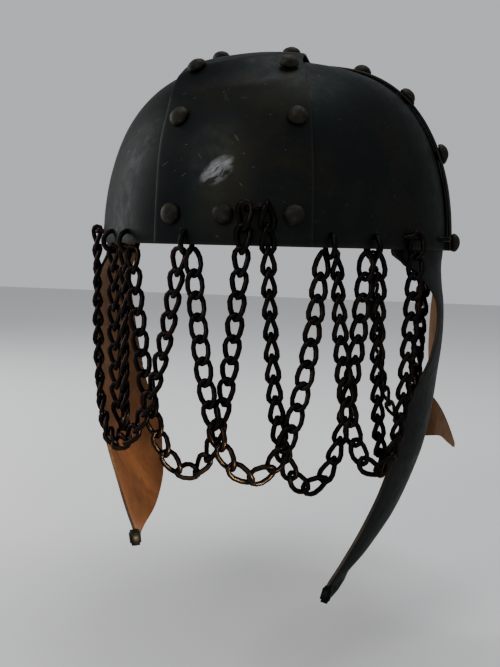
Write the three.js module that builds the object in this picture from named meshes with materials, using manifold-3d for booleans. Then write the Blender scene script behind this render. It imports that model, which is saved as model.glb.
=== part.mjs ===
// A riveted sheet-metal helmet with two cheek plates and a veil of chains, in millimetres.
// Front is -Y, the wearer's left is +X, up is +Z. The origin is the centre of the rim plane.
import * as THREE from "three";
import { mergeVertices } from "three/addons/utils/BufferGeometryUtils.js";
import Module from "manifold-3d";

const wasm = await Module();
wasm.setup();

// Dome
const RIM_HALF_WIDTH = 96;
const RIM_HALF_LENGTH = 113;
const DOME_HEIGHT = 98;
const RISE_POWER = 2.1;
const ROUND_POWER = 3.4;
const SHEET = 1.4;
const GAP = 0.3;
const FACETS_ROUND = 40;
const FACETS_UP = 10;

// Bands over the dome
const FRONT_BAND_HALF_WIDTH = 38;
const EAR_BAND_CENTRE_Y = 8;
const EAR_BAND_HALF_WIDTH = 16;
const EAR_BAND_STAND_OFF = 1.3;
const BAND_OVERLAP = 13;

// The front band's plan: places along the rim's half length, half widths and sideways leans as shares.
const FRONT_BAND_PLAN = [
  { along: -1.1, half: 1.0, lean: 0.08 },
  { along: -0.93, half: 0.99, lean: 0.06 },
  { along: -0.85, half: 0.95, lean: 0.01 },
  { along: -0.78, half: 0.9, lean: -0.02 },
  { along: -0.67, half: 0.84, lean: -0.09 },
  { along: -0.5, half: 0.78, lean: -0.17 },
  { along: 0.1, half: 0.72, lean: -0.26 },
  { along: 0.67, half: 0.84, lean: -0.1 },
  { along: 1.1, half: 1.0, lean: 0.0 },
];

// Rivets
const HEAD_RADIUS = 4.6;
const HEAD_HEIGHT = 4.2;
const SHANK_RADIUS = 1.9;
const TAIL_RADIUS = 3;
const TAIL_HEIGHT = 1.2;
const RIVET_SIDES = 8;
const ROW_INSET = 9.5;
const LOW_ROW_HEIGHT = 14;

// Rivet pairs of the front band: end is -1 at the brow and 1 at the nape.
const SIDE_PAIRS = [
  { name: "brow_low", end: -1, height: LOW_ROW_HEIGHT },
  { name: "brow_high", end: -1, height: 58.5 },
  { name: "fore", end: -1, height: 84.5 },
  { name: "hind", end: 1, height: 84.5 },
  { name: "nape_high", end: 1, height: 58.5 },
  { name: "nape_low", end: 1, height: LOW_ROW_HEIGHT },
];
const CROWN_PAIR_ALONG = -0.24;

// Rivet rows of the ear band, by height above the rim.
const EAR_ROW_INSET = 8;
const EAR_RIVETS = [
  { name: "low", height: 4.5 },
  { name: "middle", height: 52 },
  { name: "high", height: 81.5 },
];
const EAR_TOP_RIVET_X = 45;

// Cheek plates: the long horn's drop on each side.
const CHEEK_DROP_LEFT = 171;
const CHEEK_DROP_RIGHT = 153;
const CHEEK_ROOT_HEIGHT = 11;
const CHEEK_GAP = 0.6;
const HORN_COLUMNS = 6;

// The horn's front and rear edge: angles round the rim from the front, reaches as shares of the rim.
const HORN_EDGES = [
  { drop: 0.02, front: 51, frontReach: 0.965, rear: 99.4, rearReach: 0.965 },
  { drop: 0.05, front: 57, frontReach: 0.985, rear: 97.6, rearReach: 0.972 },
  { drop: 0.09, front: 62, frontReach: 1.01, rear: 95.8, rearReach: 0.982 },
  { drop: 0.16, front: 65.4, frontReach: 1.034, rear: 95.2, rearReach: 0.984 },
  { drop: 0.3, front: 62.9, frontReach: 1.033, rear: 97.6, rearReach: 0.979 },
  { drop: 0.45, front: 55.7, frontReach: 1.029, rear: 98.6, rearReach: 0.94 },
  { drop: 0.6, front: 51.3, frontReach: 1.022, rear: 99.1, rearReach: 0.881 },
  { drop: 0.7, front: 48.3, frontReach: 0.997, rear: 98.5, rearReach: 0.809 },
  { drop: 0.8, front: 43.4, frontReach: 0.972, rear: 93.1, rearReach: 0.731 },
  { drop: 0.9, front: 36.6, frontReach: 0.963, rear: 76, rearReach: 0.66 },
  { drop: 0.96, front: 32.4, frontReach: 0.96, rear: 54.1, rearReach: 0.716 },
  { drop: 1.0, front: 31.6, frontReach: 0.963, rear: 34.2, rearReach: 0.926 },
];

// The left horn is bent: its front edge is sprung out and its rear edge in, added to the reaches.
const LEFT_SPRING = [
  { drop: 0.03, front: 0, rear: 0 },
  { drop: 0.09, front: 0.03, rear: -0.03 },
  { drop: 0.16, front: 0.05, rear: -0.05 },
  { drop: 0.3, front: 0.055, rear: -0.05 },
  { drop: 0.45, front: 0.01, rear: -0.005 },
  { drop: 0.6, front: 0, rear: 0 },
];

// The spur behind the horn: its root lies in the horn's sheet, its sections run out to the point.
const SPUR_ROOT_ANGLES = [82, 92];
const SPUR_TOP = 0.46;
const SPUR_BOTTOM = 0.635;
const SPUR_SECTIONS = [
  { angle: 100, reach: 0.97, top: 0.5, bottom: 0.63 },
  { angle: 107, reach: 1.055, top: 0.565, bottom: 0.65 },
  { angle: 112, reach: 1.13, top: 0.63, bottom: 0.685 },
  { angle: 116.5, reach: 1.21, top: 0.703, bottom: 0.718 },
];
const SPUR_ROWS = 3;

// Chains
const WIRE_RADIUS = 1.3;
const ANCHOR_RING_RADIUS = 5.2;
const ANCHOR_HOLE_RADIUS = 2.6;
const LYING_RING_STAND_OFF = 1.2;
const WIRE_SIDES = 5;
const RING_SIDES = 10;
const CHAIN_TUBE_RADIUS = 3;
const STRANDS_APART = 3.6;
const LYING_STRANDS_APART = 5;
const TUBE_SIDES = 8;
const TUBE_STEP = 18;

// Where the chains hang: the angle round the rim from the front, and the hole's height.
// A ring goes round the rim's edge, or lies in two holes side by side.
// A lying ring holds its chains outside the plates, 1, or inside them, -1.
const ANCHORS = [
  { name: "right_corner", angle: -62.5, height: 6, under: "cheek", lying: 1 },
  { name: "right_brow_far", angle: -46, height: 6, under: "panel" },
  { name: "right_brow_near", angle: -35, height: 6, under: "panel" },
  { name: "brow_right", angle: -11, height: 6, under: "band" },
  { name: "brow_middle", angle: 9, height: 17, under: "band", lying: 1 },
  { name: "brow_left", angle: 29.5, height: 6, under: "panel" },
  { name: "left_brow_far", angle: 43, height: 6, under: "panel" },
  { name: "left_corner", angle: 57.5, height: 6, under: "cheek", lying: 1 },
  { name: "left_side", angle: 79, height: 6, under: "cheek", lying: -1 },
  { name: "left_rear", angle: 122, height: 6, under: "panel" },
  { name: "left_nape", angle: 152, height: 6, under: "panel" },
];

// Each swag hangs between two anchors: its lowest height, and how far its middle leans out.
const SWAGS = [
  { name: "swag_1", from: 1, to: 2, low: -97, lean: -4 },
  { name: "swag_2", from: 0, to: 3, low: -100, lean: 10.5 },
  { name: "swag_3", from: 2, to: 4, low: -110, lean: -7 },
  { name: "swag_4", from: 3, to: 5, low: -106, lean: 10 },
  { name: "swag_5", from: 4, to: 6, low: -114, lean: -8 },
  { name: "swag_6", from: 5, to: 7, low: -105, lean: 7 },
  { name: "swag_7", from: 6, to: 8, low: -110, lean: -4 },
  { name: "swag_8", from: 9, to: 10, low: -112, lean: 8 },
];

// Colours
const BLACKENED = { color: 0x2b2d2c, roughness: 0.42, metalness: 0.85 };
const RIVET_METAL = { color: 0x37332b, roughness: 0.6, metalness: 0.8 };
const CHAIN_METAL = { color: 0x1b1a19, roughness: 0.38, metalness: 0.9 };

const helmet = new THREE.Group();

function addPiece(name, geometry, finish) {
  const mesh = new THREE.Mesh(geometry, new THREE.MeshStandardMaterial(finish));
  mesh.name = name;
  helmet.add(mesh);
}

// A closed geometry as a solid that can be joined and cut.
function solidOf(geometry) {
  const bare = geometry.clone();
  bare.deleteAttribute("normal");
  bare.deleteAttribute("uv");
  const merged = mergeVertices(bare, 1e-4);
  return new wasm.Manifold(
    new wasm.Mesh({
      numProp: 3,
      vertProperties: merged.attributes.position.array,
      triVerts: new Uint32Array(merged.index.array),
    }),
  );
}

function geometryOf(solid) {
  const mesh = solid.getMesh();
  const geometry = new THREE.BufferGeometry();
  geometry.setAttribute("position", new THREE.BufferAttribute(mesh.vertProperties, 3));
  geometry.setIndex(new THREE.BufferAttribute(mesh.triVerts, 1));
  geometry.computeVertexNormals();
  return geometry;
}

function gridGeometry(points, faces) {
  const flat = points.flatMap((p) => [p.x, p.y, p.z]);
  const geometry = new THREE.BufferGeometry();
  geometry.setAttribute("position", new THREE.Float32BufferAttribute(flat, 3));
  geometry.setIndex(faces);
  return geometry;
}

function radians(degrees) {
  return THREE.MathUtils.degToRad(degrees);
}

function mix(a, b, share) {
  return a + (b - a) * share;
}

// Reads a table between its rows: key names the column that orders it.
function between(table, key, value) {
  const clamped = Math.min(Math.max(value, table[0][key]), table.at(-1)[key]);
  const after = Math.max(table.findIndex((row) => row[key] >= clamped), 1);
  const a = table[after - 1];
  const b = table[after];
  const share = (clamped - a[key]) / (b[key] - a[key]);
  return (column) => mix(a[column], b[column], share);
}

// How far the dome's plan has drawn in at a height, as a share of the rim.
function spreadAt(height, grow) {
  return (1 - Math.min(height / (DOME_HEIGHT + grow), 1) ** RISE_POWER) ** (1 / ROUND_POWER);
}

// A point of the dome grown outwards: turn is the angle round from the front, climb runs 0 to 1.
function domePoint(turn, climb, grow) {
  const lift = Math.sin((climb * Math.PI) / 2) ** (2 / RISE_POWER);
  const spread = Math.cos((climb * Math.PI) / 2) ** (2 / ROUND_POWER);
  return new THREE.Vector3(
    (RIM_HALF_WIDTH + grow) * spread * Math.sin(turn),
    -(RIM_HALF_LENGTH + grow) * spread * Math.cos(turn),
    (DOME_HEIGHT + grow) * lift,
  );
}

// A whole dome shell between two growths, each a function of the climb.
function domeShell(outerAt, innerAt) {
  const points = [];
  const faces = [];
  for (const growAt of [outerAt, innerAt]) {
    for (let i = 0; i < FACETS_UP; i++) {
      const climb = i / FACETS_UP;
      for (let j = 0; j < FACETS_ROUND; j++) {
        points.push(domePoint((j / FACETS_ROUND) * 2 * Math.PI, climb, growAt(climb)));
      }
    }
    points.push(new THREE.Vector3(0, 0, DOME_HEIGHT + growAt(1)));
  }
  const top = FACETS_UP * FACETS_ROUND;
  const outer = (i, j) => (i === FACETS_UP ? top : i * FACETS_ROUND + (j % FACETS_ROUND));
  const inner = (i, j) => top + 1 + outer(i, j);
  for (let j = 0; j < FACETS_ROUND; j++) {
    for (let i = 0; i < FACETS_UP; i++) {
      faces.push(outer(i, j), outer(i, j + 1), outer(i + 1, j));
      faces.push(inner(i, j), inner(i + 1, j), inner(i, j + 1));
      if (i < FACETS_UP - 1) {
        faces.push(outer(i, j + 1), outer(i + 1, j + 1), outer(i + 1, j));
        faces.push(inner(i, j + 1), inner(i + 1, j), inner(i + 1, j + 1));
      }
    }
    faces.push(outer(0, j), inner(0, j), outer(0, j + 1));
    faces.push(outer(0, j + 1), inner(0, j), inner(0, j + 1));
  }
  return solidOf(gridGeometry(points, faces));
}

// A sheet of even thickness about a surface: placeAt gives its middle for two shares from 0 to 1.
function sheetSolid(placeAt, rows, columns, thickness) {
  const points = [];
  const faces = [];
  const step = 1e-3;
  for (const side of [-0.5, 0.5]) {
    for (let i = 0; i <= rows; i++) {
      for (let j = 0; j <= columns; j++) {
        const [u, v] = [i / rows, j / columns];
        const down = placeAt(Math.min(u + step, 1), v).sub(placeAt(Math.max(u - step, 0), v));
        const across = placeAt(u, Math.min(v + step, 1)).sub(placeAt(u, Math.max(v - step, 0)));
        const normal = across.cross(down).normalize();
        points.push(placeAt(u, v).addScaledVector(normal, side * thickness));
      }
    }
  }
  const skin = (rows + 1) * (columns + 1);
  const at = (side, i, j) => side * skin + i * (columns + 1) + j;
  for (let i = 0; i < rows; i++) {
    for (let j = 0; j < columns; j++) {
      faces.push(at(0, i, j), at(0, i + 1, j + 1), at(0, i, j + 1));
      faces.push(at(0, i, j), at(0, i + 1, j), at(0, i + 1, j + 1));
      faces.push(at(1, i, j), at(1, i, j + 1), at(1, i + 1, j + 1));
      faces.push(at(1, i, j), at(1, i + 1, j + 1), at(1, i + 1, j));
    }
  }
  const strip = (a, b) => {
    faces.push(at(0, ...a), at(0, ...b), at(1, ...b));
    faces.push(at(0, ...a), at(1, ...b), at(1, ...a));
  };
  for (let j = 0; j < columns; j++) {
    strip([0, j], [0, j + 1]);
    strip([rows, j + 1], [rows, j]);
  }
  for (let i = 0; i < rows; i++) {
    strip([i + 1, 0], [i, 0]);
    strip([i, columns], [i + 1, columns]);
  }
  return solidOf(gridGeometry(points, faces));
}

// An upright block with the given plan outline, taller than the dome.
function planBlock(corners) {
  const shape = new THREE.Shape(corners.map(([x, y]) => new THREE.Vector2(x, y)));
  const block = new THREE.ExtrudeGeometry(shape, { depth: DOME_HEIGHT * 2, bevelEnabled: false });
  block.translate(0, 0, -DOME_HEIGHT / 2);
  return solidOf(block);
}

function slab(lowX, highX, lowY, highY) {
  return planBlock([[lowX, lowY], [highX, lowY], [highX, highY], [lowX, highY]]);
}

// One edge of the front band in plan, moved in from the band's own edge.
function frontBandEdge(side, inset) {
  return FRONT_BAND_PLAN.map(({ along, half, lean }) => [
    FRONT_BAND_HALF_WIDTH * (lean + side * half) - side * inset,
    along * RIM_HALF_LENGTH,
  ]);
}

function frontBandRowX(side, y) {
  const row = between(FRONT_BAND_PLAN, "along", y / RIM_HALF_LENGTH);
  return FRONT_BAND_HALF_WIDTH * (row("lean") + side * row("half")) - side * ROW_INSET;
}

// Growths of the plates over the panels' outer face, by climb.
const FRONT_BAND_RISE = EAR_BAND_STAND_OFF + SHEET;
const EAR_BAND_INNER = EAR_BAND_STAND_OFF;
const EAR_BAND_OUTER = EAR_BAND_STAND_OFF + SHEET;

function frontBandInner(climb) {
  return GAP + FRONT_BAND_RISE * climb * climb * (3 - 2 * climb);
}

function frontBandOuter(climb) {
  return frontBandInner(climb) + SHEET;
}

function climbAt(height) {
  return (Math.asin(Math.min(height / DOME_HEIGHT, 1) ** (RISE_POWER / 2)) * 2) / Math.PI;
}

// A place on the panels' outer face with the direction that it faces.
function seatAt(x, y, z) {
  const spread = Math.hypot(x / RIM_HALF_WIDTH, y / RIM_HALF_LENGTH);
  const slope = ROUND_POWER * spread ** (ROUND_POWER - 2);
  const normal = new THREE.Vector3(
    (slope * x) / RIM_HALF_WIDTH ** 2,
    (slope * y) / RIM_HALF_LENGTH ** 2,
    (RISE_POWER * (z / DOME_HEIGHT) ** (RISE_POWER - 1)) / DOME_HEIGHT,
  ).normalize();
  return { place: new THREE.Vector3(x, y, z), normal };
}

function seatOnFront(x, height, end) {
  const y = end * RIM_HALF_LENGTH * Math.sqrt(spreadAt(height, 0) ** 2 - (x / RIM_HALF_WIDTH) ** 2);
  return seatAt(x, y, height);
}

function seatOnSide(y, height, side) {
  const x = side * RIM_HALF_WIDTH * Math.sqrt(spreadAt(height, 0) ** 2 - (y / RIM_HALF_LENGTH) ** 2);
  return seatAt(x, y, height);
}

function seatOnTop(x, y) {
  const spread = Math.hypot(x / RIM_HALF_WIDTH, y / RIM_HALF_LENGTH);
  return seatAt(x, y, DOME_HEIGHT * (1 - spread ** ROUND_POWER) ** (1 / RISE_POWER));
}

function seatAround(angle, height) {
  const spread = spreadAt(height, 0);
  const x = RIM_HALF_WIDTH * spread * Math.sin(radians(angle));
  const y = -RIM_HALF_LENGTH * spread * Math.cos(radians(angle));
  return seatAt(x, y, height);
}

// Turns a solid made about +Z so that it stands on a seat, its Z along the seat's normal.
function stood(solid, seat) {
  const turn = new THREE.Quaternion().setFromUnitVectors(new THREE.Vector3(0, 0, 1), seat.normal);
  const matrix = new THREE.Matrix4().compose(seat.place, turn, new THREE.Vector3(1, 1, 1));
  return solid.transform(matrix.elements);
}

// Turns a profile of radii and heights round +Z.
function turned(profile) {
  const lathe = new THREE.LatheGeometry(profile.map(([r, z]) => new THREE.Vector2(r, z)), RIVET_SIDES);
  lathe.rotateX(Math.PI / 2);
  return solidOf(lathe);
}

// A rivet about +Z, its head above the outer plate and its tail below the inner one.
function rivetSolid(outer, inner) {
  const base = outer + GAP;
  const foot = inner - GAP;
  return turned([
    [0, foot - TAIL_HEIGHT],
    [TAIL_RADIUS, foot - TAIL_HEIGHT],
    [TAIL_RADIUS, foot],
    [SHANK_RADIUS, foot],
    [SHANK_RADIUS, base],
    [HEAD_RADIUS, base],
    [HEAD_RADIUS * 0.84, base + HEAD_HEIGHT * 0.6],
    [0, base + HEAD_HEIGHT],
  ]);
}

// What a rivet takes out of the plates: its hole, and room for its tail.
function rivetCutter(outer, inner) {
  return turned([
    [0, inner - TAIL_HEIGHT * 3],
    [TAIL_RADIUS + GAP, inner - TAIL_HEIGHT * 3],
    [TAIL_RADIUS + GAP, inner],
    [SHANK_RADIUS + GAP, inner],
    [SHANK_RADIUS + GAP, outer + GAP],
    [0, outer + GAP],
  ]);
}

const rivets = [];

// A rivet through the stack at a seat: the outer plate's growth and the inmost plate's.
function addRivet(name, seat, outer, inner) {
  rivets.push({
    name: `rivet_${name}`,
    solid: stood(rivetSolid(outer, inner), seat),
    cutter: stood(rivetCutter(outer, inner), seat),
  });
}

const HANDS = [["right", -1], ["left", 1]];
const cheekMiddle = -(SHEET + CHEEK_GAP + SHEET / 2);
const cheekInner = cheekMiddle - SHEET / 2;

for (const [hand, side] of HANDS) {
  for (const { name, end, height } of SIDE_PAIRS) {
    const y = end * RIM_HALF_LENGTH * spreadAt(height, 0);
    const seat = seatOnFront(frontBandRowX(side, y), height, end);
    addRivet(`${name}_${hand}`, seat, frontBandOuter(climbAt(height)), -SHEET);
  }
  const crownY = CROWN_PAIR_ALONG * RIM_HALF_LENGTH;
  const crown = seatOnTop(frontBandRowX(side, crownY), crownY);
  addRivet(`crown_${hand}`, crown, frontBandOuter(climbAt(crown.place.z)), -SHEET);
  for (const [row, way] of [["fore", -1], ["aft", 1]]) {
    const y = EAR_BAND_CENTRE_Y + way * (EAR_BAND_HALF_WIDTH - EAR_ROW_INSET);
    for (const { name, height } of EAR_RIVETS) {
      const inner = height < CHEEK_ROOT_HEIGHT ? cheekInner : -SHEET;
      addRivet(`ear_${name}_${row}_${hand}`, seatOnSide(y, height, side), EAR_BAND_OUTER, inner);
    }
  }
  const foreY = EAR_BAND_CENTRE_Y - EAR_BAND_HALF_WIDTH + EAR_ROW_INSET;
  addRivet(`ear_top_${hand}`, seatOnTop(side * EAR_TOP_RIVET_X, foreY), EAR_BAND_OUTER, -SHEET);
}
for (const [name, end] of [["brow_middle", -1], ["nape_middle", 1]]) {
  const seat = seatOnFront(0, LOW_ROW_HEIGHT, end);
  addRivet(name, seat, frontBandOuter(climbAt(LOW_ROW_HEIGHT)), GAP);
}

// Rings at the anchors, with the holes that they pass through.
const stackMiddles = {
  band: (GAP + SHEET - SHEET) / 2,
  panel: -SHEET / 2,
  cheek: cheekInner / 2,
};
const rings = ANCHORS.map(({ name, angle, height, under, lying }) => {
  const seat = seatAround(angle, height);
  const out = new THREE.Vector3(seat.normal.x, seat.normal.y, 0).normalize();
  const along = new THREE.Vector3(0, 0, 1).cross(out);
  const centre = seat.place.clone().addScaledVector(out, stackMiddles[under]);
  const ring = new THREE.TorusGeometry(ANCHOR_RING_RADIUS, WIRE_RADIUS, WIRE_SIDES, RING_SIDES);
  if (lying) {
    ring.rotateZ(Math.PI / RING_SIDES);
  } else {
    ring.rotateX(Math.PI / 2);
    ring.applyMatrix4(new THREE.Matrix4().makeRotationZ(Math.atan2(out.y, out.x)));
    centre.z -= ANCHOR_RING_RADIUS;
  }
  ring.translate(centre.x, centre.y, centre.z);
  const drill = new THREE.CylinderGeometry(ANCHOR_HOLE_RADIUS, ANCHOR_HOLE_RADIUS, 16, RIVET_SIDES);
  drill.applyMatrix4(new THREE.Matrix4().makeRotationZ(Math.atan2(out.y, out.x) - Math.PI / 2));
  const bores = (lying ? [-1, 1] : [0]).map((way) => {
    const bore = drill.clone();
    const at = seat.place.clone().addScaledVector(along, way * ANCHOR_RING_RADIUS);
    bore.translate(at.x, at.y, at.z);
    return solidOf(bore);
  });
  const hang = centre.clone();
  if (lying) {
    hang.addScaledVector(out, lying * (ANCHOR_RING_RADIUS + LYING_RING_STAND_OFF));
  } else {
    hang.z -= ANCHOR_RING_RADIUS;
  }
  hang.z -= WIRE_RADIUS + GAP;
  return { name: `ring_${name}`, solid: solidOf(ring), bores, hang, along, out };
});

// Plates
const panelShell = domeShell(() => 0, () => -SHEET);
const frontShell = domeShell(frontBandOuter, frontBandInner);
const earShell = domeShell(() => EAR_BAND_OUTER, () => EAR_BAND_INNER);
const reach = RIM_HALF_WIDTH + RIM_HALF_LENGTH;
const earFore = EAR_BAND_CENTRE_Y - EAR_BAND_HALF_WIDTH;
const earAft = EAR_BAND_CENTRE_Y + EAR_BAND_HALF_WIDTH;

// One horn point: the drop share down the plate and the share from its front to its rear edge.
function hornPoint(drop, share, dropLength, side) {
  const row = between(HORN_EDGES, "drop", drop);
  const angle = radians(mix(row("front"), row("rear"), share));
  const sprung = between(LEFT_SPRING, "drop", drop);
  const spring = side > 0 ? mix(sprung("front"), sprung("rear"), share) : 0;
  const out = mix(row("frontReach"), row("rearReach"), share) + spring;
  return new THREE.Vector3(
    side * RIM_HALF_WIDTH * out * Math.sin(angle),
    -RIM_HALF_LENGTH * out * Math.cos(angle),
    -drop * dropLength,
  );
}

// The root strip inside the rim, from its top edge down to the horn's first row.
function rootPoint(share, across, dropLength, side) {
  const first = HORN_EDGES[0];
  const angle = radians(mix(first.front, first.rear, across));
  const height = mix(CHEEK_ROOT_HEIGHT, -first.drop * dropLength, share);
  const spread = spreadAt(Math.max(height, 0), cheekMiddle);
  return new THREE.Vector3(
    side * (RIM_HALF_WIDTH + cheekMiddle) * spread * Math.sin(angle),
    -(RIM_HALF_LENGTH + cheekMiddle) * spread * Math.cos(angle),
    height,
  );
}

function cheekPlate(side, dropLength) {
  const rootRows = 2;
  const rows = rootRows + HORN_EDGES.length;
  const place = (u, v) => {
    const row = u * rows;
    const across = side > 0 ? v : 1 - v;
    if (row <= rootRows) return rootPoint(row / rootRows, across, dropLength, side);
    const at = row - rootRows;
    if (at < 1) {
      const upper = rootPoint(1, across, dropLength, side);
      const lower = hornPoint(HORN_EDGES[0].drop * 1.6, across, dropLength, side);
      return upper.lerp(lower, at);
    }
    const index = Math.min(Math.floor(at), HORN_EDGES.length - 1);
    const next = Math.min(index + 1, HORN_EDGES.length - 1);
    const low = index === 0 ? HORN_EDGES[0].drop * 1.6 : HORN_EDGES[index].drop;
    return hornPoint(mix(low, HORN_EDGES[next].drop, at - index), across, dropLength, side);
  };
  const horn = sheetSolid(place, rows, HORN_COLUMNS, SHEET);
  const columns = SPUR_ROOT_ANGLES.length + SPUR_SECTIONS.length - 1;
  const spurPlace = (u, v) => {
    const column = (side > 0 ? v : 1 - v) * columns;
    const at = (index) => {
      if (index < SPUR_ROOT_ANGLES.length) {
        const drop = mix(SPUR_TOP, SPUR_BOTTOM, u);
        const row = between(HORN_EDGES, "drop", drop);
        const share = (SPUR_ROOT_ANGLES[index] - row("front")) / (row("rear") - row("front"));
        return hornPoint(drop, share, dropLength, side);
      }
      const section = SPUR_SECTIONS[index - SPUR_ROOT_ANGLES.length];
      const angle = radians(section.angle);
      return new THREE.Vector3(
        side * RIM_HALF_WIDTH * section.reach * Math.sin(angle),
        -RIM_HALF_LENGTH * section.reach * Math.cos(angle),
        -dropLength * mix(section.top, section.bottom, u),
      );
    };
    const index = Math.min(Math.floor(column), columns - 1);
    return at(index).lerp(at(index + 1), column - index);
  };
  const spur = sheetSolid(spurPlace, SPUR_ROWS, columns, SHEET);
  return horn.add(spur);
}

const plates = [];
const frontOutline = planBlock([...frontBandEdge(1, 0), ...frontBandEdge(-1, 0).reverse()]);
plates.push({ name: "front_band", solid: frontShell.intersect(frontOutline) });
plates.push({ name: "ear_band", solid: earShell.intersect(slab(-reach, reach, earFore, earAft)) });
for (const [hand, side] of HANDS) {
  const edge = frontBandEdge(side, BAND_OVERLAP);
  const outside = [[side * reach, edge.at(-1)[1]], [side * reach, edge[0][1]]];
  const half = planBlock(side > 0 ? [...edge.reverse(), ...outside.reverse()] : [...edge, ...outside]);
  const fore = slab(-reach, reach, -reach, earFore + BAND_OVERLAP);
  const aft = slab(-reach, reach, earAft - BAND_OVERLAP, reach);
  plates.push({ name: `panel_front_${hand}`, solid: panelShell.intersect(half).intersect(fore) });
  plates.push({ name: `panel_back_${hand}`, solid: panelShell.intersect(half).intersect(aft) });
}
plates.push({ name: "cheek_right", solid: cheekPlate(-1, CHEEK_DROP_RIGHT) });
plates.push({ name: "cheek_left", solid: cheekPlate(1, CHEEK_DROP_LEFT) });

const cutters = [...rivets.map(({ cutter }) => cutter), ...rings.flatMap(({ bores }) => bores)];
for (const { name, solid } of plates) {
  const cut = cutters.reduce((left, cutter) => left.subtract(cutter), solid);
  addPiece(name, geometryOf(cut.asOriginal().simplify(0.1)), BLACKENED);
}
for (const { name, solid } of rivets) {
  addPiece(name, geometryOf(solid), RIVET_METAL);
}
for (const { name, solid } of rings) {
  addPiece(name, geometryOf(solid), CHAIN_METAL);
}

// How steeply a hanging chain of this depth and span curves: its span over its catenary's size.
function sagFactor(depth, span) {
  let low = 0.01;
  let high = 30;
  for (let i = 0; i < 60; i++) {
    const middle = (low + high) / 2;
    if ((Math.cosh(middle / 2) - 1) / middle < depth / span) low = middle;
    else high = middle;
  }
  return low;
}

// The line that a swag hangs along, from its first anchor to its second.
function swagLine({ from, to, low, lean }) {
  const shared = (anchor) => SWAGS.filter((swag) => swag.from === anchor || swag.to === anchor).length > 1;
  const apart = (anchor) => {
    if (!shared(anchor)) return 0;
    return ANCHORS[anchor].lying ? LYING_STRANDS_APART : STRANDS_APART;
  };
  const a = rings[from].hang.clone().addScaledVector(rings[from].along, apart(from));
  const b = rings[to].hang.clone().addScaledVector(rings[to].along, -apart(to));
  const span = Math.hypot(b.x - a.x, b.y - a.y);
  const factor = sagFactor((a.z + b.z) / 2 - low, span);
  const outward = new THREE.Vector3(b.y - a.y, a.x - b.x, 0).normalize();
  const points = [];
  const count = 40;
  for (let i = 0; i <= count; i++) {
    const share = i / count;
    const point = a.clone().lerp(b, share);
    const hang = (Math.cosh(factor / 2) - Math.cosh(factor * (share - 0.5))) / (Math.cosh(factor / 2) - 1);
    point.z -= hang * ((a.z + b.z) / 2 - low);
    point.addScaledVector(outward, lean * Math.sin(Math.PI * share));
    points.push(point);
  }
  return new THREE.CatmullRomCurve3(points);
}

for (const swag of SWAGS) {
  const line = swagLine(swag);
  const section = new THREE.Shape();
  for (let i = 0; i < TUBE_SIDES; i++) {
    const turn = (i / TUBE_SIDES) * 2 * Math.PI;
    const corner = [CHAIN_TUBE_RADIUS * Math.cos(turn), CHAIN_TUBE_RADIUS * Math.sin(turn)];
    if (i === 0) section.moveTo(...corner);
    else section.lineTo(...corner);
  }
  const steps = Math.ceil(line.getLength() / TUBE_STEP);
  const tube = new THREE.ExtrudeGeometry(section, { steps, bevelEnabled: false, extrudePath: line });
  addPiece(swag.name, tube, CHAIN_METAL);
}

export default helmet;
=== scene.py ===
"""A riveted sheet-metal helmet with cheek plates and a veil of curb chains: its looks, in metres."""
import math

import bmesh
import bpy
from mathutils import Matrix, Quaternion, Vector, noise


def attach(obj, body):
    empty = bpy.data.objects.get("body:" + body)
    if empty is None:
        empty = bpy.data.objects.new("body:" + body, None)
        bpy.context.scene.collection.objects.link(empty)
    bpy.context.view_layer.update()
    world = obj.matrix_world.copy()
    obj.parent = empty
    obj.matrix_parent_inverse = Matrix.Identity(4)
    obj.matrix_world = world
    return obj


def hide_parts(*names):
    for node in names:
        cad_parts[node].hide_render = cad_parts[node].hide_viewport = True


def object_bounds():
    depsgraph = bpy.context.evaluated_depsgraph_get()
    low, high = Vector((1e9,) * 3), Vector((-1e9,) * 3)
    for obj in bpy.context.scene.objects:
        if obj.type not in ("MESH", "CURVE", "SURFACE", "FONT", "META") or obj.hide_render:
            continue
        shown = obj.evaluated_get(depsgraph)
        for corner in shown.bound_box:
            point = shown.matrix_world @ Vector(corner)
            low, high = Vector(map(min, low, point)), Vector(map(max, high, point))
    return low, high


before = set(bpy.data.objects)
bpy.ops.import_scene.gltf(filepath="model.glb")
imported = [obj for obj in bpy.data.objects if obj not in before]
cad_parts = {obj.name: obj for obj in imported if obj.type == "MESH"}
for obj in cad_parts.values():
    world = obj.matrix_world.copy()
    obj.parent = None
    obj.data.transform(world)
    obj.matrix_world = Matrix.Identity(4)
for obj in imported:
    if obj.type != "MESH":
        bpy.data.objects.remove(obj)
cad_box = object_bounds()

MM = 0.001

# Dome
RIM_HALF_WIDTH = 96 * MM
RIM_HALF_LENGTH = 113 * MM
DOME_HEIGHT = 98 * MM
RISE_POWER = 2.1
ROUND_POWER = 3.4
SHEET = 1.4 * MM
GAP = 0.3 * MM

# Bands
FRONT_BAND_HALF_WIDTH = 38 * MM
EAR_BAND_CENTRE_Y = 8 * MM
EAR_BAND_HALF_WIDTH = 16 * MM
EAR_BAND_OUTER = 2.7 * MM
BAND_OVERLAP = 13 * MM

# Faces across and along each sheet of the dome
FRONT_BAND_GRID = (40, 190)
EAR_BAND_GRID = (18, 170)
PANEL_GRID = (52, 56)

# The front band's plan: place along the rim's half length, half width and sideways lean as shares.
FRONT_BAND_PLAN = [
    (-1.1, 1.0, 0.08),
    (-0.93, 0.99, 0.06),
    (-0.85, 0.95, 0.01),
    (-0.78, 0.9, -0.02),
    (-0.67, 0.84, -0.09),
    (-0.5, 0.78, -0.17),
    (0.1, 0.72, -0.26),
    (0.67, 0.84, -0.1),
    (1.1, 1.0, 0.0),
]

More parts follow.
